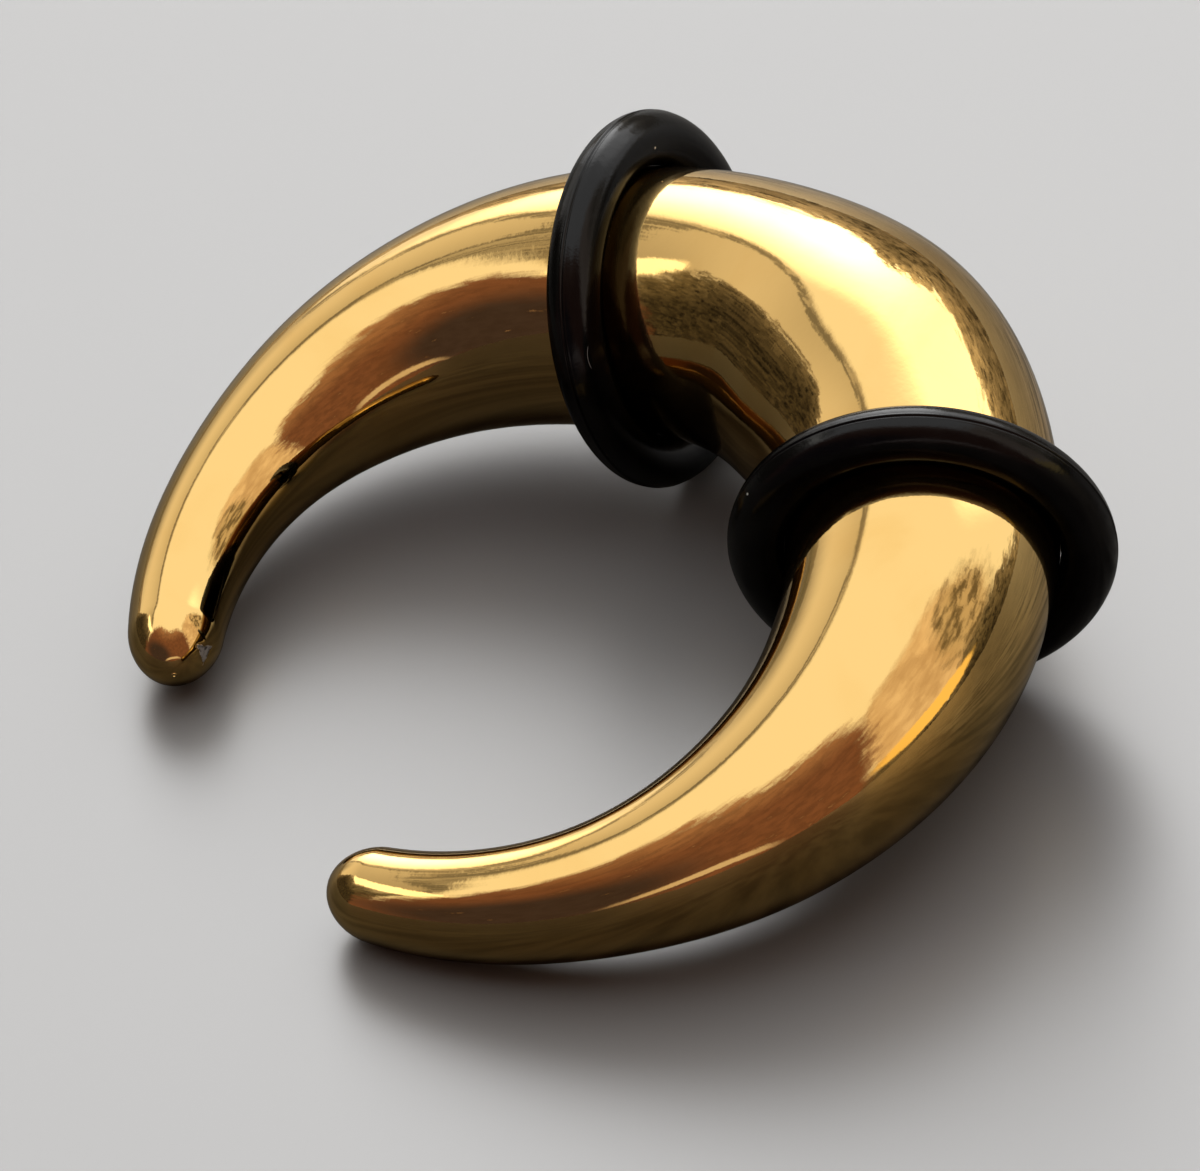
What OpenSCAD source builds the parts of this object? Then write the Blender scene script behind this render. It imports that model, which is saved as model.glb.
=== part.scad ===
// Buffalo taper: a solid crescent-shaped taper for a stretched ear lobe, with the two rubber rings that keep it in.
// Millimetres. The part lies on a flat surface as it would by itself: on both rings and on the right tip.
// +X runs across the two arms, the tips point to -Y, +Z is up. The origin is under the middle of the whole, at its base.

/* [Crescent] */
// Thickness at the middle of the back, the gauge of the taper
back_thickness = 10; // [8:0.1:12]
// Left arm, from the middle of the back to the tip along the centreline
left_arm = 33.9; // [31:0.1:36.5]
// Right arm, from the middle of the back to the tip along the centreline
right_arm = 35.8; // [31:0.1:36.5]
// Length of the rounded end of each tip
tip_round = 1.8; // [1.4:0.1:4]

/* [Rings] */
// Thickness of the rubber cord of a ring
cord = 1.75; // [1.3:0.01:2.2]
// Right ring, from the middle of the back along the centreline
right_ring_at = 8.5; // [6.5:0.1:11]
// Left ring, from the middle of the back along the centreline
left_ring_at = 9.3; // [6.5:0.1:11]
// Gap between the right ring and the crescent
right_ring_gap = 0.08; // [0.06:0.01:0.3]
// Gap between the left ring and the crescent
left_ring_gap = 0.09; // [0.09:0.01:0.3]
// Lean of the right ring out of the crescent's plane, in degrees
right_ring_lean = -1.1; // [-2:0.1:2]
// Lean of the left ring out of the crescent's plane, in degrees
left_ring_lean = 4.3; // [0:0.1:5]
// Turn of the right ring within the crescent's plane, in degrees
right_ring_turn = 1.7; // [0:0.1:2]
// Turn of the left ring within the crescent's plane, in degrees
left_ring_turn = 2.8; // [0:0.1:3]

/* [Hidden] */

// One arm in sections, the same for both arms: the share of the arm's length from the middle of the back,
// the thickness as a share of the back's, and the radius that the centreline bends with there
AT = 0;
THICK = 1;
BEND = 2;
sections = [
    [0.00, 1.000, 13.5],
    [0.07, 0.962, 13.9],
    [0.14, 0.919, 15.0],
    [0.22, 0.892, 16.3],
    [0.35, 0.835, 12.6],
    [0.55, 0.641, 10.9],
    [0.75, 0.421, 12.1],
    [1.00, 0.288, 14.7]
];
last = len(sections) - 1;

// Corners of a cross-section, and cross-sections along an arm and round its tip
SIDES = 60;
STEPS = 40;
TIP_STEPS = 10;

// A smooth curve through one column of the table, level at the middle of the back and without overshoot.
// The bend is blended as curvature, the inverse of its radius.
function entry(col, i) = col == BEND ? 1 / sections[i][BEND] : sections[i][col];
function gap_at(i) = sections[i + 1][AT] - sections[i][AT];
function rise(col, i) = (entry(col, i + 1) - entry(col, i)) / gap_at(i);
function slope(col, i) =
    i == 0 ? 0 :
    i == last ? rise(col, last - 1) :
    rise(col, i - 1) * rise(col, i) <= 0 ? 0 :
    let (a = gap_at(i - 1), b = gap_at(i))
    3 * (a + b) / ((2 * b + a) / rise(col, i - 1) + (b + 2 * a) / rise(col, i));
function row_of(share, i = 0) = i >= last - 1 || share <= sections[i + 1][AT] ? i : row_of(share, i + 1);
function blend(col, share) =
    let (i = row_of(share), h = gap_at(i), t = (share - sections[i][AT]) / h)
    entry(col, i) * (1 + 2 * t) * (1 - t) ^ 2 + slope(col, i) * h * t * (1 - t) ^ 2
    + entry(col, i + 1) * (3 - 2 * t) * t ^ 2 - slope(col, i + 1) * h * (1 - t) * t ^ 2;

// Where the cross-sections of an arm stand, how thick they are and how far the centreline has turned and run
function stands(arm) = concat(
    [for (i = [0:STEPS]) (arm - tip_round) * i / STEPS],
    [for (i = [1:TIP_STEPS]) arm - tip_round * (1 - sin(90 * i / TIP_STEPS))]
);
function radius(arm, s) =
    let (past = max(0, s - arm + tip_round) / tip_round)
    back_thickness / 2 * blend(THICK, s / arm) * sqrt(max(0, 1 - past ^ 2));
function turn_step(arm, s, i) =
    i + 1 >= len(s) ? 0 :
    (s[i + 1] - s[i]) * (blend(BEND, s[i] / arm) + blend(BEND, s[i + 1] / arm)) / 2 * 180 / PI;
function turns(arm, s) = [for (i = 0, a = 0; i < len(s); a = a + turn_step(arm, s, i), i = i + 1) a];
function heading(a) = [cos(a), -sin(a), 0];
function run_step(s, a, i) =
    i + 1 >= len(s) ? [0, 0, 0] : (s[i + 1] - s[i]) * (heading(a[i]) + heading(a[i + 1])) / 2;
function run(s, a) = [for (i = 0, p = [0, 0, 0]; i < len(s); p = p + run_step(s, a, i), i = i + 1) p];

// A cross-section of the crescent: its centre, the turn of the centreline there and its radius
CENTRE = 0;
TURN = 1;
RADIUS = 2;
function arm_sections(arm, side) =
    let (s = stands(arm), a = turns(arm, s), p = run(s, a))
    [for (i = [0:len(s) - 1]) [[side * p[i].x, p[i].y, 0], side * a[i], radius(arm, s[i])]];
left_sections = arm_sections(left_arm, -1);
right_sections = arm_sections(right_arm, 1);
line = concat(
    [for (i = [len(left_sections) - 1:-1:1]) left_sections[i]],
    right_sections
);

// The crescent's surface: a round of corners at each cross-section between the two tips, and a point at each tip
function corner(part, j) =
    let (w = 360 * j / SIDES, a = part[TURN])
    part[CENTRE] + part[RADIUS] * [-cos(w) * sin(a), -cos(w) * cos(a), sin(w)];
rounds = len(line) - 2;
corners = concat(
    [line[0][CENTRE], line[len(line) - 1][CENTRE]],
    [for (i = [1:rounds], j = [0:SIDES - 1]) corner(line[i], j)]
);
function at(i, j) = 2 + (i - 1) * SIDES + j % SIDES;
faces = concat(
    [for (j = [0:SIDES - 1]) [0, at(1, j), at(1, j + 1)]],
    [for (j = [0:SIDES - 1]) [1, at(rounds, j + 1), at(rounds, j)]],
    [for (i = [1:rounds - 1], j = [0:SIDES - 1]) [at(i, j), at(i + 1, j), at(i, j + 1)]],
    [for (i = [1:rounds - 1], j = [0:SIDES - 1]) [at(i, j + 1), at(i + 1, j), at(i + 1, j + 1)]]
);

// A ring: its centre on the centreline, its axis along the centreline but for its turn and lean, its mean radius
AXIS = 3;
function ring(arm, side, place, gap, lean, turn) =
    let (
        s = stands(arm), a = turns(arm, s), p = run(s, a),
        x = lookup(place, [for (i = [0:len(s) - 1]) [s[i], p[i].x]]),
        y = lookup(place, [for (i = [0:len(s) - 1]) [s[i], p[i].y]]),
        w = side * (lookup(place, [for (i = [0:len(s) - 1]) [s[i], a[i]]]) + turn)
    )
    [[side * x, y, 0], w, radius(arm, place) + gap + cord / 2, cos(lean) * heading(w) + [0, 0, sin(lean)]];
left_ring = ring(left_arm, -1, left_ring_at, left_ring_gap, left_ring_lean, left_ring_turn);
right_ring = ring(right_arm, 1, right_ring_at, right_ring_gap, right_ring_lean, right_ring_turn);

// How far the cross-sections and the rings reach in a direction
function disc_reach(centre, axis, r, way) = centre * way + r * sqrt(max(0, 1 - (axis * way) ^ 2));
function steel_reach(parts, way) =
    max([for (p = parts) disc_reach(p[CENTRE], heading(p[TURN]), p[RADIUS], way)]);
function ring_reach(g, way) = disc_reach(g[CENTRE], g[AXIS], g[RADIUS], way) + cord / 2;

// How the part lies: pitched and rolled until both rings and the lower tip reach down equally far
function own(v, pitch, roll) =
    let (x = v.x * cos(roll) - v.z * sin(roll), z = v.x * sin(roll) + v.z * cos(roll))
    [x, v.y * cos(pitch) + z * sin(pitch), z * cos(pitch) - v.y * sin(pitch)];
tip_arm = right_ring[CENTRE].y - right_sections[STEPS][CENTRE].y;
ring_span = right_ring[CENTRE].x - left_ring[CENTRE].x;
function settle(pitch, roll, rounds_left) =
    rounds_left == 0 ? [pitch, roll] :
    let (
        down = own([0, 0, -1], pitch, roll),
        l = ring_reach(left_ring, down),
        r = ring_reach(right_ring, down),
        tips = steel_reach(line, down)
    )
    settle(
        pitch - (tips - (l + r) / 2) / tip_arm * 180 / PI,
        roll - (r - l) / ring_span * 180 / PI,
        rounds_left - 1
    );
lie = settle(12, 0, 20);
function reach(v) =
    let (way = own(v, lie[0], lie[1]))
    max(steel_reach(line, way), ring_reach(left_ring, way), ring_reach(right_ring, way));
shift = [
    (reach([-1, 0, 0]) - reach([1, 0, 0])) / 2,
    (reach([0, -1, 0]) - reach([0, 1, 0])) / 2,
    reach([0, 0, -1])
];

module lay() {
    translate(shift) rotate([lie[0], lie[1], 0]) children();
}

module o_ring(g, lean) {
    translate(g[CENTRE]) rotate([0, 90 - lean, -g[TURN]])
        rotate_extrude($fn = 96) translate([g[RADIUS], 0]) circle(d = cord, $fn = 32);
}

module taper_body() {
    color([0.86, 0.66, 0.30]) lay() polyhedron(points = corners, faces = faces, convexity = 6);
}

module o_ring_left() {
    color([0.06, 0.06, 0.06]) lay() o_ring(left_ring, left_ring_lean);
}

module o_ring_right() {
    color([0.06, 0.06, 0.06]) lay() o_ring(right_ring, right_ring_lean);
}

taper_body();
o_ring_left();
o_ring_right();
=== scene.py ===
# %% [markdown]
# This file dresses a solid model of a crescent-shaped ear taper: a thick bent rod of gold-coloured
# polished steel that narrows to two blunt tips, with two black rubber rings that hold it in the
# lobe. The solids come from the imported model, which gives the size and the place of everything.
# Here they get a smooth mirror-polished skin, moulded rubber rings, a floor, soft light and the
# camera of the photograph.

# %% Load the frame
import math

import bpy
import numpy as np
from mathutils import Matrix, Vector


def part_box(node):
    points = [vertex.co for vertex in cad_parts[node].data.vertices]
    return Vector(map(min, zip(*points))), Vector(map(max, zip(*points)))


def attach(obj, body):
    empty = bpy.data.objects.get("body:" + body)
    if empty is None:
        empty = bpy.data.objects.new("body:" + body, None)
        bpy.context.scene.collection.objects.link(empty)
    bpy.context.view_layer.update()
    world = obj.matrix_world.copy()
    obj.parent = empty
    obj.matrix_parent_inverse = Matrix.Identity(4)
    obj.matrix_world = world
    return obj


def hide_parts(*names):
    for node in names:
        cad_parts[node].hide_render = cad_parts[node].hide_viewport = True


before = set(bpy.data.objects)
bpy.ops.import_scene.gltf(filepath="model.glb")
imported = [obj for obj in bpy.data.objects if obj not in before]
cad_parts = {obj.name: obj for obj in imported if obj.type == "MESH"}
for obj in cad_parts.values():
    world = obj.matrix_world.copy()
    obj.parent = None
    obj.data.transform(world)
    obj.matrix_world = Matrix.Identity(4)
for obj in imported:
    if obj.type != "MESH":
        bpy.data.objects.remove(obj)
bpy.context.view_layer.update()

MM = 0.001

# %% [markdown]
# The crescent is a rod along a curved line. The curve bends most near the middle of each arm, and
# the rod thins all the way to the tips. It could be sculpted by hand, but a short table of
# thickness and bend against length says it exactly, and it is the table that the solid is made
# from. One smooth curve goes through each column. These numbers are in millimetres.

# %% The crescent in numbers
BACK_THICKNESS = 10.0
LEFT_ARM = 33.9
RIGHT_ARM = 35.8
TIP_ROUND = 1.8
# Share of the arm's length, thickness as a share of the back's, radius of the bend
SECTIONS = np.array([
    [0.00, 1.000, 13.5],
    [0.07, 0.962, 13.9],
    [0.14, 0.919, 15.0],
    [0.22, 0.892, 16.3],
    [0.35, 0.835, 12.6],
    [0.55, 0.641, 10.9],
    [0.75, 0.421, 12.1],
    [1.00, 0.288, 14.7],
])
share_of_arm, share_of_back, bend_radius = SECTIONS.T


def level_blend(at, values, where):
    """A smooth curve through the values, level at its start and never overshooting them."""
    gap = np.diff(at)
    rise = np.diff(values) / gap
    slope = np.zeros(len(at))
    for i in range(1, len(at) - 1):
        if rise[i - 1] * rise[i] > 0:
            a, b = gap[i - 1], gap[i]
            slope[i] = 3 * (a + b) / ((2 * b + a) / rise[i - 1] + (b + 2 * a) / rise[i])
    slope[-1] = rise[-1]
    row = np.clip(np.searchsorted(at, where, side="right") - 1, 0, len(at) - 2)
    h = gap[row]
    t = (where - at[row]) / h
    start = values[row] * (1 + 2 * t) * (1 - t) ** 2 + slope[row] * h * t * (1 - t) ** 2
    end = values[row + 1] * (3 - 2 * t) * t ** 2 - slope[row + 1] * h * (1 - t) * t ** 2
    return start + end


print("thickness in mm along an arm:", BACK_THICKNESS * share_of_back)

# %% [markdown]
# A mirror finish shows every kink of the curve under it as a kink in the reflections. So the
# table's curves are smoothed once more, by a bell-shaped average over about a millimetre, before
# the rod is built from them.

# %% The centreline of the crescent
STEP = 0.02
SMOOTHING = 1.3
# The bell is cut off where it is nearly nothing, at this many times its width
BELL_REACH = 4

length = np.arange(-LEFT_ARM, RIGHT_ARM + STEP / 2, STEP)
share = np.clip(np.abs(length) / np.where(length < 0, LEFT_ARM, RIGHT_ARM), 0, 1)
middle = int(np.argmin(np.abs(length)))


def smoothed(values, width):
    """The values averaged with their neighbours under a bell of that width, in millimetres."""
    reach = int(BELL_REACH * width / STEP)
    bell = np.exp(-0.5 * (np.arange(-reach, reach + 1) * STEP / width) ** 2)
    start = 2 * values[0] - values[reach:0:-1]
    end = 2 * values[-1] - values[-2:-reach - 2:-1]
    return np.convolve(np.concatenate([start, values, end]), bell / bell.sum(), mode="valid")


def summed(values):
    """The running sum of the values along the line, zero at the middle of the back."""
    total = np.concatenate([[0], np.cumsum((values[1:] + values[:-1]) / 2) * STEP])
    return total - total[middle]


def tip_rounding(where):
    """What the round tips leave of the radius at places along the line, from 1 down to 0."""
    to_tip = np.where(where < 0, LEFT_ARM + where, RIGHT_ARM - where)
    past = np.clip(1 - to_tip / TIP_ROUND, 0, 1)
    return np.sqrt(np.clip(1 - past ** 2, 0, 1))


thickness = smoothed(level_blend(share_of_arm, share_of_back, share), SMOOTHING)
bend = smoothed(level_blend(share_of_arm, 1 / bend_radius, share), SMOOTHING)
turn = summed(bend)
line_x = summed(np.cos(turn))
line_y = summed(-np.sin(turn))
line_radius = BACK_THICKNESS / 2 * thickness * tip_rounding(length)
print("turn of the whole crescent:", round(float(np.degrees(turn[-1] - turn[0])), 1), "degrees")


def line_at(where):
    """Centre, inward normal and radius of the rod at places along its line, in millimetres."""
    a = np.interp(where, length, turn)
    x, y = np.interp(where, length, line_x), np.interp(where, length, line_y)
    zero = np.zeros_like(a)
    centre = np.stack([x, y, zero], -1)
    inward = np.stack([-np.sin(a), -np.cos(a), zero], -1)
    return centre, inward, np.interp(where, length, line_radius)


# %% [markdown]
# The taper lies on both rings and on one tip, so its plane leans: the tips are down and the back
# is up. Everything is modelled flat, in the crescent's own plane, and then laid down in one turn
# and one shift. The camera is laid down the same way, because it was found from the outlines of
# the crescent.

# %% How the taper lies
PITCH = math.radians(12.941)
ROLL = math.radians(-0.0929)
SHIFT = np.array([-0.12218, 9.59508, 6.74159])
LIE = np.array(Matrix.Rotation(ROLL, 3, "Y") @ Matrix.Rotation(PITCH, 3, "X"))
UP = np.array([0, 0, 1.0])


def laid(points):
    """Points of the crescent's own plane, in millimetres, as they lie in the frame, in metres."""
    return (np.asarray(points) @ LIE.T + SHIFT) * MM


def grid_faces(rows, columns, closed_rows):
    """Square faces of a tube whose rows of points follow each other, closed round its columns."""
    faces = []
    for i in range(rows if closed_rows else rows - 1):
        for j in range(columns):
            k, n = (i + 1) % rows, (j + 1) % columns
            faces.append((i * columns + j, k * columns + j, k * columns + n, i * columns + n))
    return faces


def new_piece(name, points, faces, node):
    """A smooth-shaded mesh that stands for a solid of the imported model."""
    mesh = bpy.data.meshes.new(name)
    mesh.from_pydata(laid(points).tolist(), [], faces)
    mesh.validate()
    mesh.polygons.foreach_set("use_smooth", [True] * len(mesh.polygons))
    mesh.update()
    piece = bpy.data.objects.new(name, mesh)
    bpy.context.scene.collection.objects.link(piece)
    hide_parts(node)
    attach(piece, "root")
    low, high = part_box(node)
    corners = np.array([v.co for v in mesh.vertices])
    below, above = corners.min(0) - np.array(low), corners.max(0) - np.array(high)
    off = max(abs(below).max(), abs(above).max()) / MM
    print(name, len(mesh.polygons), "faces, its box within", round(off, 3), "mm of", node)
    return piece


print("the crescent's plane leans by", round(math.degrees(PITCH), 1), "degrees")

# %% [markdown]
# Near the left tip the coating has a small chip with three sides. It could be painted on, but it
# is a real dent. So it is pushed into the mesh of the steel, and the material shows bare steel in
# it. Both need to know how far a point is inside its three sides.

# %% The chip near the left tip
CHIP_DEPTH = 0.045
CHIP_EDGE = 0.05
CHIP_REACH = 1.0
CHIP_CORNERS = np.array([
    (-6.938, -22.102, 0.534),
    (-7.023, -21.641, 0.0),
    (-6.821, -22.216, -0.247),
])
chip_edges = np.roll(CHIP_CORNERS, -1, axis=0) - CHIP_CORNERS
chip_middle = CHIP_CORNERS.mean(0)
chip_facing = np.cross(CHIP_CORNERS[1] - CHIP_CORNERS[0], CHIP_CORNERS[2] - CHIP_CORNERS[0])
chip_facing /= np.linalg.norm(chip_facing)
chip_sides = []
for corner, edge in zip(CHIP_CORNERS, chip_edges):
    way = np.cross(chip_facing, edge)
    way /= np.linalg.norm(way)
    way *= np.sign((chip_middle - corner) @ way)
    chip_sides.append((way, float(corner @ way)))


def inside_chip(points):
    """How far points of the crescent's plane are inside the chip, in millimetres, or negative."""
    inside = np.min([points @ way - start for way, start in chip_sides], axis=0)
    close = np.linalg.norm(points - chip_middle, axis=-1) < CHIP_REACH
    return np.where(close, inside, -1.0)


print("chip sides, mm:", np.linalg.norm(chip_edges, axis=1).round(2))

# %% [markdown]
# The steel itself is ground and polished by hand before it is coated, so it has no edges at all:
# one continuous skin from tip to tip. A subdivision surface over a coarse cage would do, but its
# limit shape is hard to tie to the solid. A fine tube of rings along the line, closer together at
# the tips, gives the same skin exactly.

# %% The steel skin
SIDES = 144
STATIONS = 470
TIP_STATIONS = 34

eased = TIP_ROUND * (1 - np.sin(np.linspace(0, math.pi / 2, TIP_STATIONS + 1)))[1:-1]
stations = np.concatenate([
    -LEFT_ARM + eased[::-1],
    np.linspace(-LEFT_ARM + TIP_ROUND, RIGHT_ARM - TIP_ROUND, STATIONS),
    RIGHT_ARM - eased,
])
around = np.linspace(0, 2 * math.pi, SIDES, endpoint=False)
centre, inward, _ = line_at(stations)
radius = BACK_THICKNESS / 2 * np.interp(stations, length, thickness) * tip_rounding(stations)
outward = np.cos(around)[None, :, None] * inward[:, None] + np.sin(around)[None, :, None] * UP
skin = centre[:, None] + radius[:, None, None] * outward
dent = np.clip(inside_chip(skin) / CHIP_EDGE + 0.5, 0, 1) * CHIP_DEPTH
skin = skin - dent[..., None] * outward
print("points in the chip:", int((dent > 0).sum()))

rows = len(stations)
points = np.concatenate([skin.reshape(-1, 3), line_at(np.array([-LEFT_ARM, RIGHT_ARM]))[0]])
faces = [face[::-1] for face in grid_faces(rows, SIDES, closed_rows=False)]
left_end, right_end = rows * SIDES, rows * SIDES + 1
last_row = (rows - 1) * SIDES
for j in range(SIDES):
    n = (j + 1) % SIDES
    faces.append((j, n, left_end))
    faces.append((last_row + n, last_row + j, right_end))
steel = new_piece("polished_crescent", points, faces, "taper_body")

# %% [markdown]
# Each ring is a moulded rubber o-ring, stretched a little over the steel. It was pressed in a
# mould of two halves, which leaves a fine parting line round its outside. Where it grips the steel
# its inner side is flattened. A plain torus has neither. So the cord's outline is drawn point by
# point, with the parting line in it, and swept round, and every point that would enter the steel
# is pushed back to just outside it.

# %% The cord of a ring
CORD = 1.75
LINE_WIDTH = 0.045
LINE_DEPTH = 0.045
LIP_HEIGHT = 0.012
# The lips stand at this many line widths from the middle of the groove
LIP_PLACE = 1.6
# Angles round the cord, in degrees: the middle of the parting line, and the stretch drawn finely
LINE_ANGLE = 4
FINE_FROM, FINE_TO = -6, 14
FINE_POINTS, OTHER_POINTS = 27, 64


def cord_outline():
    """Angles round the cord, closest together near the parting line."""
    near = np.radians(np.linspace(FINE_FROM, FINE_TO, FINE_POINTS))
    rest = np.radians(np.linspace(FINE_TO, FINE_FROM + 360, OTHER_POINTS))[1:-1]
    return np.concatenate([near, rest])


def parting_line(angle):
    """How far the outline steps out or in at an angle, for a fine groove between two low lips."""
    from_line = np.abs((angle - math.radians(LINE_ANGLE) + math.pi) % (2 * math.pi) - math.pi)
    across = from_line * CORD / 2
    groove = -LINE_DEPTH * np.exp(-0.5 * (across / (LINE_WIDTH / 2)) ** 2)
    from_lip = across - LIP_PLACE * LINE_WIDTH
    return groove + LIP_HEIGHT * np.exp(-0.5 * (from_lip / (LINE_WIDTH / 2)) ** 2)


print("points round the cord:", len(cord_outline()))

# %% [markdown]
# A ring's place along the rod, its lean and its turn are those of the solid. Rubber is soft and
# could be simulated, but the grip is simple: the inner side starts a little inside the steel, and
# the points in there are pushed out of it, which leaves them lying flat against it.

# %% The rubber rings
SQUEEZE = 0.02
CLEARANCE = 0.012
RING_STEPS = 480
# The nearest point of the line is looked for among every fifth one, for a few points at a time
EVERY = 5
BATCHES = 40


def push_out(points):
    """Points moved straight away from the rod's line to the clearance, where they are closer."""
    flat = points.reshape(-1, 3)
    coarse = slice(None, None, EVERY)
    line = np.stack([line_x[coarse], line_y[coarse]], -1)
    nearest = np.concatenate([
        np.argmin(((part[:, None, :2] - line[None]) ** 2).sum(2), axis=1)
        for part in np.array_split(flat, BATCHES)
    ])
    centre, _, radius = line_at(length[coarse][nearest])
    away = flat - centre
    distance = np.linalg.norm(away, axis=1)
    short = np.clip(radius + CLEARANCE - distance, 0, None)
    moved = flat + away / distance[:, None] * short[:, None]
    print("points that grip the steel:", int((short > 0).sum()))
    print("pushed by at most", round(float(short.max()), 3), "mm")
    return moved.reshape(points.shape)


def rubber_ring(name, node, place, gap, lean, ring_turn):
    """A ring round the rod at a place along its line, leaning and turned by so many degrees."""
    side = 1 if place > 0 else -1
    centre, _, radius = [part[0] for part in line_at(np.array([place]))]
    heading = np.interp(place, length, turn) + side * math.radians(ring_turn)
    tilt = math.radians(lean)
    flat_axis = np.array([math.cos(heading), -math.sin(heading), 0])
    axis = math.cos(tilt) * flat_axis + math.sin(tilt) * UP
    across = np.cross(axis, UP)
    across /= np.linalg.norm(across)
    above = np.cross(across, axis)
    outer = radius + gap + CORD
    inner = radius - SQUEEZE
    mean, half = (outer + inner) / 2, (outer - inner) / 2
    angle = cord_outline()
    spread = half + parting_line(angle)
    sweep = np.linspace(0, 2 * math.pi, RING_STEPS, endpoint=False)
    out = np.cos(sweep)[:, None] * across + np.sin(sweep)[:, None] * above
    reach = mean + spread * np.cos(angle)
    along = CORD / 2 * np.sin(angle)
    points = centre + reach[None, :, None] * out[:, None] + along[None, :, None] * axis
    points = push_out(points).reshape(-1, 3)
    return new_piece(name, points, grid_faces(RING_STEPS, len(angle), True), node)


right_ring = rubber_ring(
    "rubber_ring_right", "o_ring_right", place=8.5, gap=0.08, lean=-1.1, ring_turn=1.7
)
left_ring = rubber_ring(
    "rubber_ring_left", "o_ring_left", place=-9.3, gap=0.09, lean=4.3, ring_turn=2.8
)

# %% [markdown]
# Materials are built from nodes. A few small helpers keep that readable: one adds a node and sets
# its inputs, others do sums, fades and mixes, and one starts a group with named inputs and outputs.

# %% Helpers for nodes
# A Mix node has sockets for every kind of value. These are the ones that it uses for colours
MIX_FACTOR, MIX_FIRST, MIX_SECOND, MIX_RESULT = 0, 6, 7, 2


def add(tree, kind, inputs=None, **settings):
    """A node of that kind in the tree, with settings, and inputs given as values or sockets."""
    node = tree.nodes.new(kind)
    for key, value in settings.items():
        setattr(node, key, value)
    for key, value in (inputs or {}).items():
        if isinstance(value, bpy.types.NodeSocket):
            tree.links.new(value, node.inputs[key])
        else:
            node.inputs[key].default_value = value
    return node


def maths(tree, operation, *values):
    """The result of a Math node on values or sockets."""
    return add(tree, "ShaderNodeMath", dict(enumerate(values)), operation=operation).outputs[0]


def dot(tree, vector, way):
    """How far a vector goes in a direction."""
    node = add(tree, "ShaderNodeVectorMath", {0: vector, 1: way}, operation="DOT_PRODUCT")
    return node.outputs["Value"]


def noise(tree, vector, scale, detail, **more):
    """Soft noise over a vector, a number around one half."""
    inputs = {"Vector": vector, "Scale": scale, "Detail": detail}
    inputs.update(more)
    return add(tree, "ShaderNodeTexNoise", inputs).outputs[0]


def fade(tree, value, start, end, low=0.0, high=1.0):
    """A smooth step of a value from low at the start to high at the end."""
    inputs = {"Value": value, "From Min": start, "From Max": end, "To Min": low, "To Max": high}
    return add(tree, "ShaderNodeMapRange", inputs, interpolation_type="SMOOTHSTEP").outputs[0]


def blend_colours(tree, amount, first, second):
    """Two colours mixed by an amount, 0 for the first and 1 for the second."""
    inputs = {MIX_FACTOR: amount, MIX_FIRST: first, MIX_SECOND: second}
    return add(tree, "ShaderNodeMix", inputs, data_type="RGBA").outputs[MIX_RESULT]


def new_group(name, inputs, outputs):
    """An empty node group with a vector input, named number inputs and named number outputs."""
    group = bpy.data.node_groups.new(name, "ShaderNodeTree")
    group.interface.new_socket("Vector", in_out="INPUT", socket_type="NodeSocketVector")
    for key, value in inputs.items():
        socket = group.interface.new_socket(key, in_out="INPUT", socket_type="NodeSocketFloat")
        socket.default_value = value
    for key in outputs:
        group.interface.new_socket(key, in_out="OUTPUT", socket_type="NodeSocketFloat")
    start = group.nodes.new("NodeGroupInput")
    end = group.nodes.new("NodeGroupOutput")
    return group, start.outputs, end.inputs


def place_group(tree, group, vector, **values):
    """The outputs of a group placed in a material. Underscores in names stand for spaces."""
    inputs = {"Vector": vector}
    inputs.update({key.replace("_", " "): value for key, value in values.items()})
    return add(tree, "ShaderNodeGroup", inputs, node_tree=group).outputs


def new_material(name):
    """A material with its nodes and shader, and the place on the object for textures to read."""
    material = bpy.data.materials.new(name)
    material.use_nodes = True
    tree = material.node_tree
    place = add(tree, "ShaderNodeTexCoord").outputs["Object"]
    return material, tree, tree.nodes["Principled BSDF"], place


def distance_to(tree, place, point):
    """The distance of a surface's points from a point of the crescent's plane, in metres."""
    target = tuple(float(v) for v in laid(point))
    node = add(tree, "ShaderNodeVectorMath", {0: place, 1: target}, operation="DISTANCE")
    return node.outputs["Value"]


# %% [markdown]
# Both steel and rubber carry a little dust: bright specks a few hundredths of a millimetre wide,
# few and far between. Painting them would need an image. Cells of random size and place do it for
# any surface: a speck is the middle of a cell, and only a share of the cells has one.

# %% Dust specks, for both materials
# Specks range from this share of the size asked for to one whole size more
SMALLEST_SPECK = 0.4

dust_specks, given, result = new_group(
    "dust specks", {"Spacing": 1.0 * MM, "Speck Size": 0.03 * MM, "Share": 0.2}, ["Mask"]
)
tree = dust_specks
scale = maths(tree, "DIVIDE", 1.0, given["Spacing"])
cells = add(tree, "ShaderNodeTexVoronoi", {"Vector": given["Vector"], "Scale": scale})
picked = add(tree, "ShaderNodeSeparateColor", {0: cells.outputs["Color"]}).outputs
size = maths(tree, "MULTIPLY", given["Speck Size"], scale)
limit = maths(tree, "MULTIPLY", size, maths(tree, "ADD", picked["Green"], SMALLEST_SPECK))
near = maths(tree, "LESS_THAN", cells.outputs["Distance"], limit)
chosen = maths(tree, "LESS_THAN", picked["Red"], given["Share"])
tree.links.new(maths(tree, "MULTIPLY", near, chosen), result["Mask"])
print("group", dust_specks.name, "with", len(tree.nodes), "nodes")

# %% [markdown]
# Polished steel isn't a perfect mirror. Buffing leaves low waves in it, about a millimetre long
# and a few thousandths deep, that make the edges of reflections wobble. Moulded rubber has the
# same kind of unevenness, only finer and deeper. So one group gives the height for both, from
# coarse and fine noise.

# %% Surface waves, for both materials
FINER = 4.3

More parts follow.
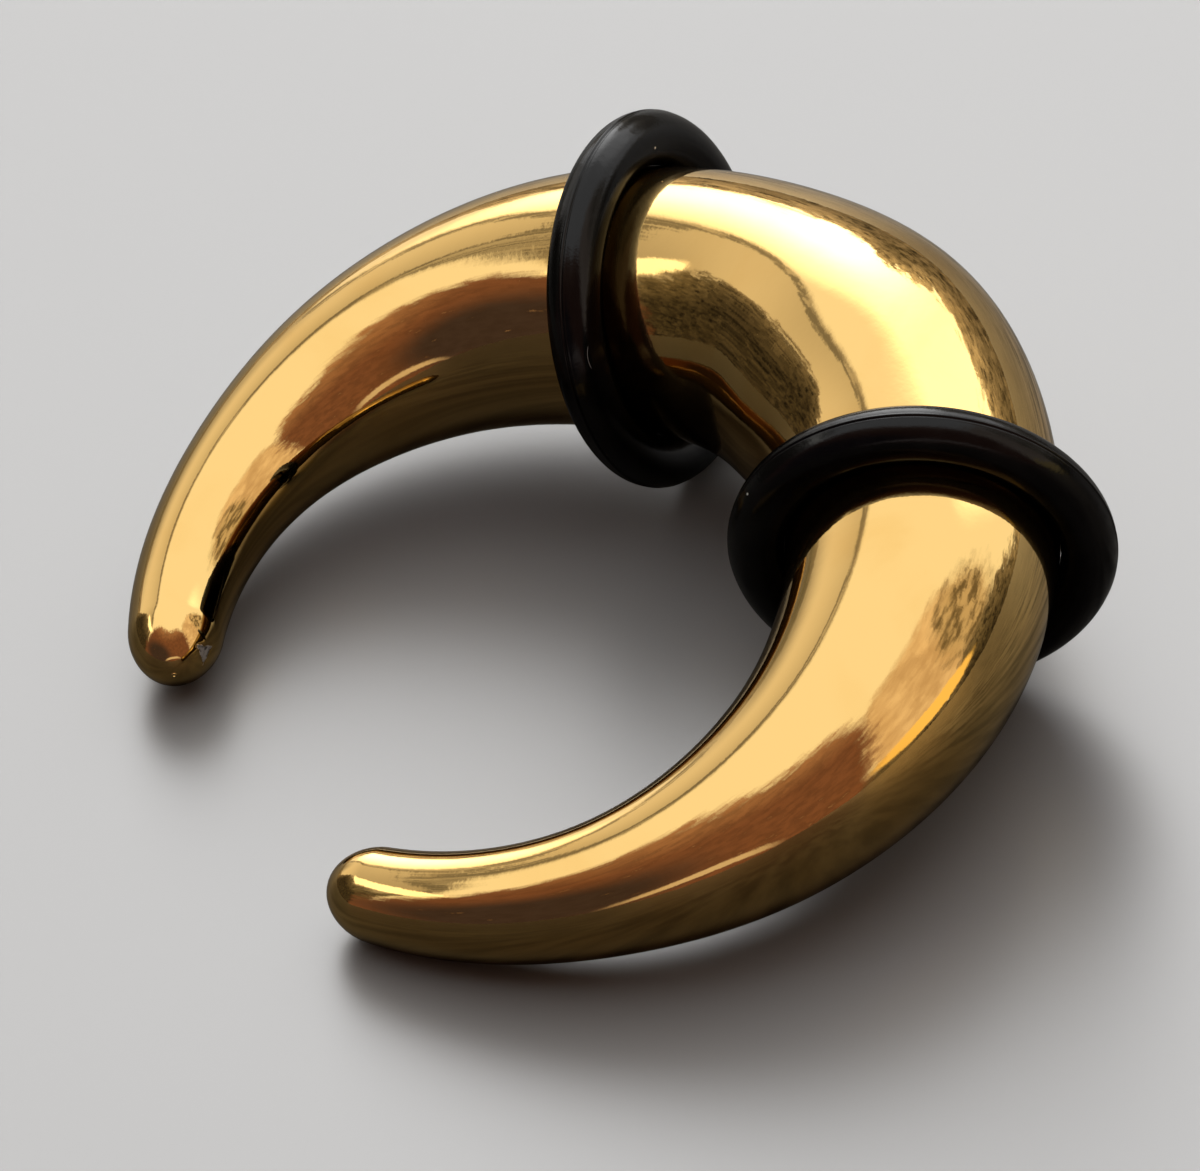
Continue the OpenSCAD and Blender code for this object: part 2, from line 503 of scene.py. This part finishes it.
surface_waves, given, result = new_group(
    "surface waves", {"Wave Length": 1.0 * MM, "Fine Share": 0.2}, ["Height"]
)
tree = surface_waves
scale = maths(tree, "DIVIDE", 1.0, given["Wave Length"])
coarse = noise(tree, given["Vector"], scale, detail=1.0)
fine = noise(tree, given["Vector"], maths(tree, "MULTIPLY", scale, FINER), detail=2.0)
fine_part = maths(tree, "MULTIPLY", fine, given["Fine Share"])
tree.links.new(maths(tree, "ADD", coarse, fine_part), result["Height"])
print("group", surface_waves.name, "with", len(tree.nodes), "nodes")

# %% [markdown]
# Handling leaves faint scuffs and a thin film on steel and rubber alike. They hardly show as a
# colour, but they dull the gloss in soft-edged patches. The group gives a patchy mask that each
# material uses for its roughness and, faintly, for its colour.

# %% Handling marks, for both materials
handling, given, result = new_group(
    "handling marks", {"Patch Size": 4.0 * MM, "Amount": 0.5}, ["Mask"]
)
tree = handling
scale = maths(tree, "DIVIDE", 1.0, given["Patch Size"])
patches = noise(tree, given["Vector"], scale, detail=5.0, Distortion=0.8)
soft = fade(tree, patches, 0.45, 0.7)
tree.links.new(maths(tree, "MULTIPLY", soft, given["Amount"]), result["Mask"])
print("group", handling.name, "with", len(tree.nodes), "nodes")

# %% [markdown]
# The gold colour is a hard coating a few thousandths of a millimetre thick on mirror-polished
# steel. It is a metal in every respect, so the shader is metallic, its colour is the colour of its
# reflections, and nearly all of the look comes from what it mirrors. It is a little deeper where
# it was handled, and it carries the dust.

# %% Gold-coloured steel: the colour
GOLD = (0.95, 0.625, 0.222, 1)
GOLD_DEEP = (0.90, 0.55, 0.17, 1)
DUST_COLOUR = (0.62, 0.60, 0.56, 1)

gold, tree, shader, place = new_material("gold coloured steel")
marks = place_group(tree, handling, place, Patch_Size=5.0 * MM, Amount=0.6)["Mask"]
specks = place_group(
    tree, dust_specks, place, Spacing=1.6 * MM, Speck_Size=0.03 * MM, Share=0.10
)["Mask"]
waves = place_group(tree, surface_waves, place, Wave_Length=1.1 * MM, Fine_Share=0.30)["Height"]
colour = blend_colours(tree, marks, GOLD, GOLD_DEEP)
colour = blend_colours(tree, specks, colour, DUST_COLOUR)
print("material", gold.name, "with", len(tree.nodes), "nodes so far")

# %% [markdown]
# In the chip the coating is gone and grey steel shows, rough and partly dark. The mask for it asks
# the same three sides as the dent does, and a fine noise frays their edges, as a brittle coating
# breaks.

# %% Gold-coloured steel: the chip
BARE_STEEL_TONES = (0.12, 0.118, 0.11, 1), (0.50, 0.49, 0.47, 1)
FRAY_SCALE = 6500.0
FRAY_DEPTH, FRAY_INSET = 0.16 * MM, 0.07 * MM
CHIP_FADE = -0.015 * MM, 0.03 * MM

frayed = noise(tree, place, FRAY_SCALE, detail=3.0)
inside = None
for way, start in chip_sides:
    turned = LIE @ way
    offset = (start + SHIFT @ turned) * MM
    depth = maths(tree, "SUBTRACT", dot(tree, place, tuple(turned)), float(offset))
    inside = depth if inside is None else maths(tree, "MINIMUM", inside, depth)
inside = maths(tree, "SUBTRACT", inside, FRAY_INSET)
chip = fade(tree, maths(tree, "MULTIPLY_ADD", frayed, FRAY_DEPTH, inside), *CHIP_FADE)
near = maths(tree, "LESS_THAN", distance_to(tree, place, chip_middle), CHIP_REACH * MM)
chip = maths(tree, "MULTIPLY", chip, near)
steel_tone = blend_colours(tree, fade(tree, frayed, 0.40, 0.58), *BARE_STEEL_TONES)
colour = blend_colours(tree, chip, colour, steel_tone)
print("material", gold.name, "with", len(tree.nodes), "nodes so far")

# %% [markdown]
# The polish is roughness and a low bump. Bare steel, dust and handled patches are duller than the
# rest. Where one arm mirrors the other, a computed mirror shows crisp orange lines that real
# polish blurs away. So the steel's colour is painted darker for rays that have been mirrored
# already: painted shade in the reflections, in place of that blur.

# %% Gold-coloured steel: the polish
MIRRORED_SHADE = 0.75
CHIP_MATT = 0.45
POLISH, MARKS_DULL, CHIP_DULL, SPECKS_DULL = 0.035, 0.07, 0.35, 0.6
CHIP_BUMPS = 6.0
WAVE_DEPTH = 0.004 * MM

# Painted shade: steel that is seen in steel, rubber or the floor gets a darker colour
glossy = add(tree, "ShaderNodeLightPath").outputs["Is Glossy Ray"]
colour = blend_colours(tree, maths(tree, "MULTIPLY", glossy, MIRRORED_SHADE), colour, (0, 0, 0, 1))
tree.links.new(colour, shader.inputs["Base Color"])
not_metal = maths(tree, "MAXIMUM", specks, maths(tree, "MULTIPLY", chip, CHIP_MATT))
tree.links.new(maths(tree, "SUBTRACT", 1.0, not_metal), shader.inputs["Metallic"])
dull = maths(tree, "MULTIPLY_ADD", chip, CHIP_DULL, POLISH)
dull = maths(tree, "MULTIPLY_ADD", marks, MARKS_DULL, dull)
dull = maths(tree, "MULTIPLY_ADD", specks, SPECKS_DULL, dull)
tree.links.new(dull, shader.inputs["Roughness"])
rough_steel = maths(tree, "MULTIPLY", maths(tree, "MULTIPLY", frayed, chip), CHIP_BUMPS)
height = maths(tree, "ADD", waves, rough_steel)
bump = add(tree, "ShaderNodeBump", {"Height": height, "Strength": 1.0, "Distance": WAVE_DEPTH})
tree.links.new(bump.outputs["Normal"], shader.inputs["Normal"])
steel.data.materials.append(gold)
print("material", gold.name, "with", len(tree.nodes), "nodes")

# %% [markdown]
# The rings are black rubber with a satin skin: nearly black, a soft grey sheen where they face the
# light, and a fine moulded grain. Rubber isn't a metal, so its gloss is colourless and weak, and
# roughness spreads it. Three specks of dust and a curved nick are placed as the photograph shows
# them, and the other specks are scattered.

# %% Black rubber: dust and nick
# In millimetres in the crescent's own plane
SPECK_PLACES = [(-10.015, -0.421, 4.275), (5.808, -6.435, 4.211), (10.983, 0.936, -1.29)]
SPECK_RADIUS = 0.045
# The middle of the nick's arc, then the centre and the radius that it bends with
NICK_MIDDLE = (-5.077, -6.650, 2.870)
NICK_CENTRE, NICK_BEND = (-4.971, -5.721, 2.514), 1.0
NICK_REACH, NICK_WIDTH = 0.42 * MM, 0.016 * MM
# The nick's middle is full, and it fades out over the rest of its width and of its reach
NICK_WIDTH_FULL, NICK_REACH_FULL = 0.4, 0.7

rubber, tree, shader, place = new_material("black rubber")
marks = place_group(tree, handling, place, Patch_Size=2.0 * MM, Amount=0.8)["Mask"]
specks = place_group(
    tree, dust_specks, place, Spacing=1.2 * MM, Speck_Size=0.03 * MM, Share=0.13
)["Mask"]
grain = place_group(tree, surface_waves, place, Wave_Length=0.3 * MM, Fine_Share=0.5)["Height"]
for point in SPECK_PLACES:
    hit = maths(tree, "LESS_THAN", distance_to(tree, place, point), SPECK_RADIUS * MM)
    specks = maths(tree, "MAXIMUM", specks, hit)
from_centre = distance_to(tree, place, NICK_CENTRE)
from_arc = maths(tree, "ABSOLUTE", maths(tree, "SUBTRACT", from_centre, NICK_BEND * MM))
nick = fade(tree, from_arc, NICK_WIDTH, NICK_WIDTH_FULL * NICK_WIDTH)
from_middle = distance_to(tree, place, NICK_MIDDLE)
nick_length = fade(tree, from_middle, NICK_REACH, NICK_REACH_FULL * NICK_REACH)
nick = maths(tree, "MULTIPLY", nick, nick_length)
print("material", rubber.name, "with", len(tree.nodes), "nodes so far")

# %% [markdown]
# The skin is where the moulding shows. A clean patch is smooth and nearly black, and a handled one
# has a faint grey bloom and a duller gloss. The grain is only a bump, because it is a few
# thousandths of a millimetre deep.

# %% Black rubber: the skin
RUBBER_TONES = (0.0015, 0.0015, 0.0016, 1), (0.0040, 0.0040, 0.0043, 1)
PALE_NICK_TONE = (0.20, 0.20, 0.20, 1)
RUBBER_GLOSS = 0.32
SKIN, BLOOM_DULL, DUST_DULL = 0.15, 0.10, 0.4
GRAIN_DEPTH = 0.006 * MM

colour = blend_colours(tree, marks, *RUBBER_TONES)
# The nick is only a pale colour along a thin arc, with no groove under it
colour = blend_colours(tree, nick, colour, PALE_NICK_TONE)
colour = blend_colours(tree, specks, colour, DUST_COLOUR)
tree.links.new(colour, shader.inputs["Base Color"])
shader.inputs["Specular IOR Level"].default_value = RUBBER_GLOSS
dull = maths(tree, "MULTIPLY_ADD", marks, BLOOM_DULL, SKIN)
dull = maths(tree, "MULTIPLY_ADD", specks, DUST_DULL, dull)
tree.links.new(dull, shader.inputs["Roughness"])
bump = add(tree, "ShaderNodeBump", {"Height": grain, "Strength": 1.0, "Distance": GRAIN_DEPTH})
tree.links.new(bump.outputs["Normal"], shader.inputs["Normal"])
for ring in (left_ring, right_ring):
    ring.data.materials.append(rubber)
print("material", rubber.name, "with", len(tree.nodes), "nodes")

# %% [markdown]
# A mirror-polished piece is lit by what it reflects, so the surroundings matter more than any
# lamp. This is a soft studio: an even bright dome, a brighter soft panel behind the object, a
# half-dark screen on either side, a dark broken band low around the horizon and a large dark brown
# card in front. Lamps would show as hard spots in the gold, and boxes of real panels would show
# their corners. So all of it is painted by direction in the world's own nodes, where every edge
# can be soft.
# Painted surroundings are slow to work out, and light as soft as this needs no rays aimed at its
# brightest parts. So the surroundings are only looked up where a scattered or mirrored ray ends in
# them, which halves the render's time.

# %% Soft studio: directions and patches
world = bpy.data.worlds.new("soft studio")
bpy.context.scene.world = world
world.use_nodes = True
world.cycles.sampling_method = "NONE"
sky = world.node_tree
look = add(sky, "ShaderNodeTexCoord").outputs["Generated"]
elevation = maths(sky, "ARCSINE", add(sky, "ShaderNodeSeparateXYZ", {0: look}).outputs["Z"])

# Noise over the directions, from coarse to fine, for edges and tones that aren't quite even
broad = noise(sky, look, 2.5, detail=4.0, Roughness=0.65)
leaf = noise(sky, look, 12.0, detail=6.0, Roughness=0.65)
speckle = noise(sky, look, 24.0, detail=4.0, Roughness=0.65)
fine = noise(sky, look, 45.0, detail=3.0, Roughness=0.65)


def facing(azimuth):
    """How squarely a direction faces an azimuth, counted from +X towards +Y in degrees."""
    a = math.radians(azimuth)
    return dot(sky, look, (math.cos(a), math.sin(a), 0))


def bearing(azimuth):
    """How far round the horizon a direction is from an azimuth, in radians to either side."""
    return maths(sky, "ARCTAN2", facing(azimuth + 90), facing(azimuth))


def offsets(azimuth, middle, half_width, half_height):
    """How far a direction is from a middle, across and up, in half sizes, all four in degrees."""
    across = maths(sky, "DIVIDE", bearing(azimuth), math.radians(half_width))
    above = maths(sky, "SUBTRACT", elevation, math.radians(middle))
    return across, maths(sky, "DIVIDE", above, math.radians(half_height))


def reach_of(parts, power, ragged):
    """The size of an offset: 1 on the edge of an oval at power 2, and of a squarer shape above."""
    powers = [maths(sky, "POWER", maths(sky, "ABSOLUTE", part), power) for part in parts]
    reach = maths(sky, "POWER", maths(sky, "ADD", *powers), 1 / power)
    return maths(sky, "MULTIPLY_ADD", leaf, ragged, maths(sky, "SUBTRACT", reach, 0.5 * ragged))


def soft_patch(azimuth, middle, half_width, half_height, core, power=2.0, ragged=0.0):
    """A mask for a patch of light or shade, full up to its core and faded out at its edge."""
    reach = reach_of(offsets(azimuth, middle, half_width, half_height), power, ragged)
    return fade(sky, reach, 1.0, core)


def tinted(value, tint):
    """A tint made as bright as a number on a socket."""
    parts = {i: maths(sky, "MULTIPLY", value, share) for i, share in enumerate(tint)}
    return add(sky, "ShaderNodeCombineColor", parts).outputs[0]


print("surroundings with", len(sky.nodes), "nodes so far")

# %% [markdown]
# The panel behind the object is the main light, and the broad yellow highlight on the back is its
# mirror image. The near screen and the far screen stand on either side. Their plain tones give the
# gold its quiet middle values, and their frames and edges give it the thin dark lines.

# %% Soft studio: the panel and the screens
DOME_LIGHT, PANEL_LIGHT, GLOW_LIGHT = 1.06, 0.95, 2.6
NEAR_SCREEN_TONES = (0.62, 0.48, 0.38, 1), (0.93, 0.78, 0.68, 1)
COLUMN_TONES = (0.17, 0.14, 0.10, 1), (0.62, 0.53, 0.43, 1)
FAR_SCREEN_TINT = (1.03, 0.98, 0.92)
FRAME_SHADE = -0.62
WEDGE_LIGHT = (1.9, 1.85, 1.7, 1)

# The bright panel behind the object, brightest low in its middle
panel = soft_patch(azimuth=136, middle=32, half_width=52, half_height=25, core=0.72, power=3.0)
glow = soft_patch(azimuth=151, middle=27, half_width=30, half_height=27, core=0.1)
light = maths(sky, "MULTIPLY_ADD", panel, PANEL_LIGHT, DOME_LIGHT)
colour = tinted(maths(sky, "MULTIPLY_ADD", glow, GLOW_LIGHT, light), (1, 1, 1))

# The near screen, with a speckled column at its far side
near_screen = soft_patch(
    azimuth=42, middle=33, half_width=33, half_height=30, core=0.76, power=3.6, ragged=0.4
)
near_tone = blend_colours(sky, fade(sky, broad, 0.35, 0.62), *NEAR_SCREEN_TONES)
colour = blend_colours(sky, near_screen, colour, near_tone)
column = soft_patch(azimuth=62, middle=30, half_width=18, half_height=29, core=0.50, ragged=0.8)
column_tone = blend_colours(sky, fade(sky, leaf, 0.40, 0.60), *COLUMN_TONES)
colour = blend_colours(sky, column, colour, column_tone)

# The far screen, darker towards the card, with a thin dark frame and a wedge of light high on it
far_offsets = offsets(azimuth=-145, middle=8, half_width=37, half_height=43)
far_reach = reach_of(far_offsets, power=4.0, ragged=0.10)
far_screen = fade(sky, far_reach, 1.0, 0.93)
far_tone = fade(sky, facing(-172), 0.5, 1.0, low=0.48, high=0.84)
framed = maths(sky, "MULTIPLY", fade(sky, far_reach, 0.86, 0.89), fade(sky, far_reach, 0.97, 0.94))
framed = maths(sky, "MULTIPLY", framed, fade(sky, speckle, 0.40, 0.55, low=0.25))
far_tone = maths(sky, "MULTIPLY", far_tone, maths(sky, "MULTIPLY_ADD", framed, FRAME_SHADE, 1.0))
colour = blend_colours(sky, far_screen, colour, tinted(far_tone, FAR_SCREEN_TINT))
wedge = soft_patch(azimuth=-123, middle=38, half_width=23, half_height=4.0, core=0.75, ragged=0.25)
colour = blend_colours(sky, wedge, colour, WEDGE_LIGHT)
print("surroundings with", len(sky.nodes), "nodes so far")

# %% [markdown]
# Low round the horizon a real room is full of small dark things. As one plain dark band they would
# mirror as a stripe. So the band has a wandering top edge with four higher heaps, and a mottled
# tone. It is darker on the side away from the panel.

# %% Soft studio: the dark band round the horizon
# Azimuth, half width and rise of each heap, in degrees
HEAPS = [(122, 27, 15), (150, 26, 8), (-130, 31, 27), (66, 20, 8)]
# The height that the top edge starts from, and how far it wanders up from there
BAND_TOP = math.radians(-6)
WANDER, FINE_WANDER = math.radians(16), math.radians(8)
BAND_SOFTNESS = math.radians(2)
BAND_TINT = (1.15, 1.0, 0.80)
SHADE_AMOUNT = 0.85
SHADE_TONE = (0.14, 0.135, 0.11, 1)
WARM_STRIP = (1.12, 0.82, 0.32, 1)

edge = maths(sky, "MULTIPLY_ADD", leaf, WANDER, BAND_TOP)
for azimuth, half_width, rise in HEAPS:
    off = maths(sky, "ABSOLUTE", bearing(azimuth))
    outer, inner = math.radians(half_width), math.radians(0.5 * half_width)
    edge = maths(sky, "ADD", edge, fade(sky, off, outer, inner, high=math.radians(rise)))
edge = maths(sky, "MULTIPLY_ADD", speckle, FINE_WANDER, edge)
over = maths(sky, "SUBTRACT", elevation, edge)
band = fade(sky, over, BAND_SOFTNESS, -BAND_SOFTNESS)
band_tone = fade(sky, facing(140), 0.3, 0.97, low=0.042, high=0.15)
near_edge = fade(sky, over, math.radians(-16), math.radians(-1), low=1.0, high=3.0)
coarse_mottle = fade(sky, speckle, 0.35, 0.65, high=0.9)
fine_mottle = fade(sky, fine, 0.35, 0.65, low=0.1, high=0.9)
band_tone = maths(sky, "MULTIPLY", band_tone, near_edge)
band_tone = maths(sky, "MULTIPLY", band_tone, maths(sky, "ADD", coarse_mottle, fine_mottle))
colour = blend_colours(sky, band, colour, tinted(band_tone, BAND_TINT))

# A soft shade beside the far screen, and a strip of warm light under the near one
shade = soft_patch(azimuth=-171, middle=0, half_width=13, half_height=26, core=0.0)
colour = blend_colours(sky, maths(sky, "MULTIPLY", shade, SHADE_AMOUNT), colour, SHADE_TONE)
strip = soft_patch(azimuth=38, middle=7.5, half_width=22, half_height=5.4, core=0.76, ragged=0.15)
colour = blend_colours(sky, strip, colour, WARM_STRIP)
print("surroundings with", len(sky.nodes), "nodes so far")

# %% [markdown]
# The card stands on the camera's side. Metal that mirrors nothing dark looks like yellow plastic,
# and the brown stripes that the card leaves along both arms are what makes it look like metal. It
# is redder and lighter at its top and sides, and nearly black low down.

# %% Soft studio: the card and the slit of light
CARD_TONES = (0.215, 0.102, 0.075, 1), (0.40, 0.23, 0.165, 1)
CARD_LOW = (0.056, 0.042, 0.052, 1)
CARD_STAIN = (0.028, 0.018, 0.018, 1)
CARD_FLECK = (0.45, 0.30, 0.24, 1)
SLIT_LIGHT = (0.66, 0.58, 0.54, 1)

card = soft_patch(
    azimuth=-45, middle=0, half_width=68, half_height=67, core=0.87, power=5.0, ragged=0.28
)
toward_top = fade(sky, elevation, math.radians(40), math.radians(62))
card_tone = blend_colours(sky, toward_top, *CARD_TONES)
low_down = soft_patch(
    azimuth=-70, middle=14, half_width=48, half_height=31, core=0.42, ragged=0.3
)
card_tone = blend_colours(sky, low_down, card_tone, CARD_LOW)
card_tone = blend_colours(sky, fade(sky, leaf, 0.35, 0.65, high=0.35), card_tone, CARD_STAIN)
card_tone = blend_colours(sky, fade(sky, leaf, 0.64, 0.70, high=0.5), card_tone, CARD_FLECK)
colour = blend_colours(sky, card, colour, card_tone)

# An arched slit of light under the card
whole = soft_patch(azimuth=-29, middle=-8, half_width=28, half_height=20, core=0.90)
cut = soft_patch(azimuth=-29, middle=-8, half_width=27, half_height=14, core=0.92)
arch = maths(sky, "MULTIPLY", whole, maths(sky, "SUBTRACT", 1.0, cut))
arch = maths(sky, "MULTIPLY", arch, fade(sky, facing(-29), 0.91, 0.98))
colour = blend_colours(sky, arch, colour, SLIT_LIGHT)
print("surroundings with", len(sky.nodes), "nodes so far")

# %% [markdown]
# Panels and cards belong in the reflections, not in the picture. So what the camera itself sees of
# the surroundings is a plain pale backdrop.

# %% Soft studio: the backdrop
BACKDROP = (0.62, 0.62, 0.62, 1)

seen = add(sky, "ShaderNodeLightPath").outputs["Is Camera Ray"]
colour = blend_colours(sky, seen, colour, BACKDROP)
sky.links.new(colour, sky.nodes["Background"].inputs["Color"])
print("surroundings with", len(sky.nodes), "nodes")

# %% [markdown]
# The floor is plain and pale. It has a soft gloss, so that a dim, blurred mirror image of the
# object joins its shadow. A big flat square is enough, because its edges are far outside the
# picture. The floor isn't part of the object.

# %% The floor
FLOOR_SIZE = 5.0
FLOOR_COLOUR, FLOOR_ROUGHNESS, FLOOR_METALLIC = (0.34, 0.34, 0.34, 1), 0.40, 0.45

half = FLOOR_SIZE / 2
corners = [(-half, -half, 0), (half, -half, 0), (half, half, 0), (-half, half, 0)]
mesh = bpy.data.meshes.new("studio_floor")
mesh.from_pydata(corners, [], [(0, 1, 2, 3)])
floor = bpy.data.objects.new("studio_floor", mesh)
bpy.context.scene.collection.objects.link(floor)

floor_finish, tree, shader, spot = new_material("pale floor")
shader.inputs["Base Color"].default_value = FLOOR_COLOUR
shader.inputs["Roughness"].default_value = FLOOR_ROUGHNESS
shader.inputs["Metallic"].default_value = FLOOR_METALLIC
floor.data.materials.append(floor_finish)
print("floor of", FLOOR_SIZE, "m")

# %% [markdown]
# A pale floor would also fill the lower half of every reflection with white, and polished metal
# only looks like metal when a part of what it mirrors is dark. A dark floor would spoil the
# picture. So a light-path switch gives the floor a second look, for mirrored rays only: painted
# shade, darker and cloudy, with painted light that makes it paler on the panel's side.

# %% The floor as the steel mirrors it
SHADED_CLOUD_TONES = (0.026, 0.025, 0.022, 1), (0.058, 0.055, 0.048, 1)
LIT_TONE = (0.20, 0.19, 0.17, 1)
STREAKS_TURN, STREAKS_STRETCH = math.radians(-40), (1, 4, 1)
CLOUD_SCALE = 170.0
# Painted light: the clouds turn paler over this stretch of Y, on the panel's side, and by this
# share
LIT_FROM, LIT_TO, LIT_SHARE = 0.006, 0.026, 0.8
MIRRORED_ROUGHNESS, MIRRORED_IOR = 0.45, 1.35

mapping = {"Vector": spot, "Rotation": (0, 0, STREAKS_TURN), "Scale": STREAKS_STRETCH}
streaked = add(tree, "ShaderNodeMapping", mapping).outputs[0]
cloudy = fade(tree, noise(tree, streaked, CLOUD_SCALE, detail=6.0), 0.32, 0.68)
floor_tone = blend_colours(tree, cloudy, *SHADED_CLOUD_TONES)
along_y = add(tree, "ShaderNodeSeparateXYZ", {0: spot}).outputs["Y"]
lit_side = fade(tree, along_y, LIT_FROM, LIT_TO, high=LIT_SHARE)
floor_tone = blend_colours(tree, maths(tree, "MULTIPLY", lit_side, cloudy), floor_tone, LIT_TONE)
dark_look = {"Base Color": floor_tone, "Roughness": MIRRORED_ROUGHNESS, "IOR": MIRRORED_IOR}
dark = add(tree, "ShaderNodeBsdfPrincipled", dark_look)
glossy = add(tree, "ShaderNodeLightPath").outputs["Is Glossy Ray"]
switch = add(tree, "ShaderNodeMixShader", {0: glossy, 1: shader.outputs[0], 2: dark.outputs[0]})
tree.links.new(switch.outputs[0], tree.nodes["Material Output"].inputs["Surface"])
print("material", floor_finish.name, "with", len(tree.nodes), "nodes")

# %% [markdown]
# The camera stands about half a metre away, 39 degrees above the floor, with a long lens. Its
# place was found by matching the outlines of the crescent and the rings with the photograph's.
# That was done in the crescent's own plane, so the camera is laid down with the rest.

# %% The camera
CAMERA_ROUND = math.radians(77.18)
CAMERA_ABOVE = math.radians(43.0)
CAMERA_TILT = math.radians(-25.89)
CAMERA_DISTANCE = 541.79
CAMERA_AIM = np.array([1.0137, -10.9757, 0])
LENS = 504.47
SENSOR_WIDTH = 36
NEAREST = 0.01

back = np.array([
    math.sin(CAMERA_ROUND) * math.cos(CAMERA_ABOVE),
    -math.cos(CAMERA_ROUND) * math.cos(CAMERA_ABOVE),
    math.sin(CAMERA_ABOVE),
])
side = np.cross(-back, UP)
side /= np.linalg.norm(side)
top = np.cross(side, -back)
right = math.cos(CAMERA_TILT) * side + math.sin(CAMERA_TILT) * top
upright = -math.sin(CAMERA_TILT) * side + math.cos(CAMERA_TILT) * top
camera_data = bpy.data.cameras.new("camera")
camera_data.lens = LENS
camera_data.sensor_width = SENSOR_WIDTH
camera_data.clip_start = NEAREST
camera = bpy.data.objects.new("camera", camera_data)
bpy.context.scene.collection.objects.link(camera)
turned = Matrix((LIE @ np.stack([right, upright, back], 1)).tolist()).to_4x4()
eye = Vector(laid(CAMERA_AIM + CAMERA_DISTANCE * back))
camera.matrix_world = Matrix.Translation(eye) @ turned
bpy.context.scene.camera = camera
bpy.context.scene.view_settings.view_transform = "Standard"
above = math.degrees(math.asin((LIE @ back)[2]))
print("camera at", [round(v, 4) for v in eye], "and", round(above), "degrees above the floor")
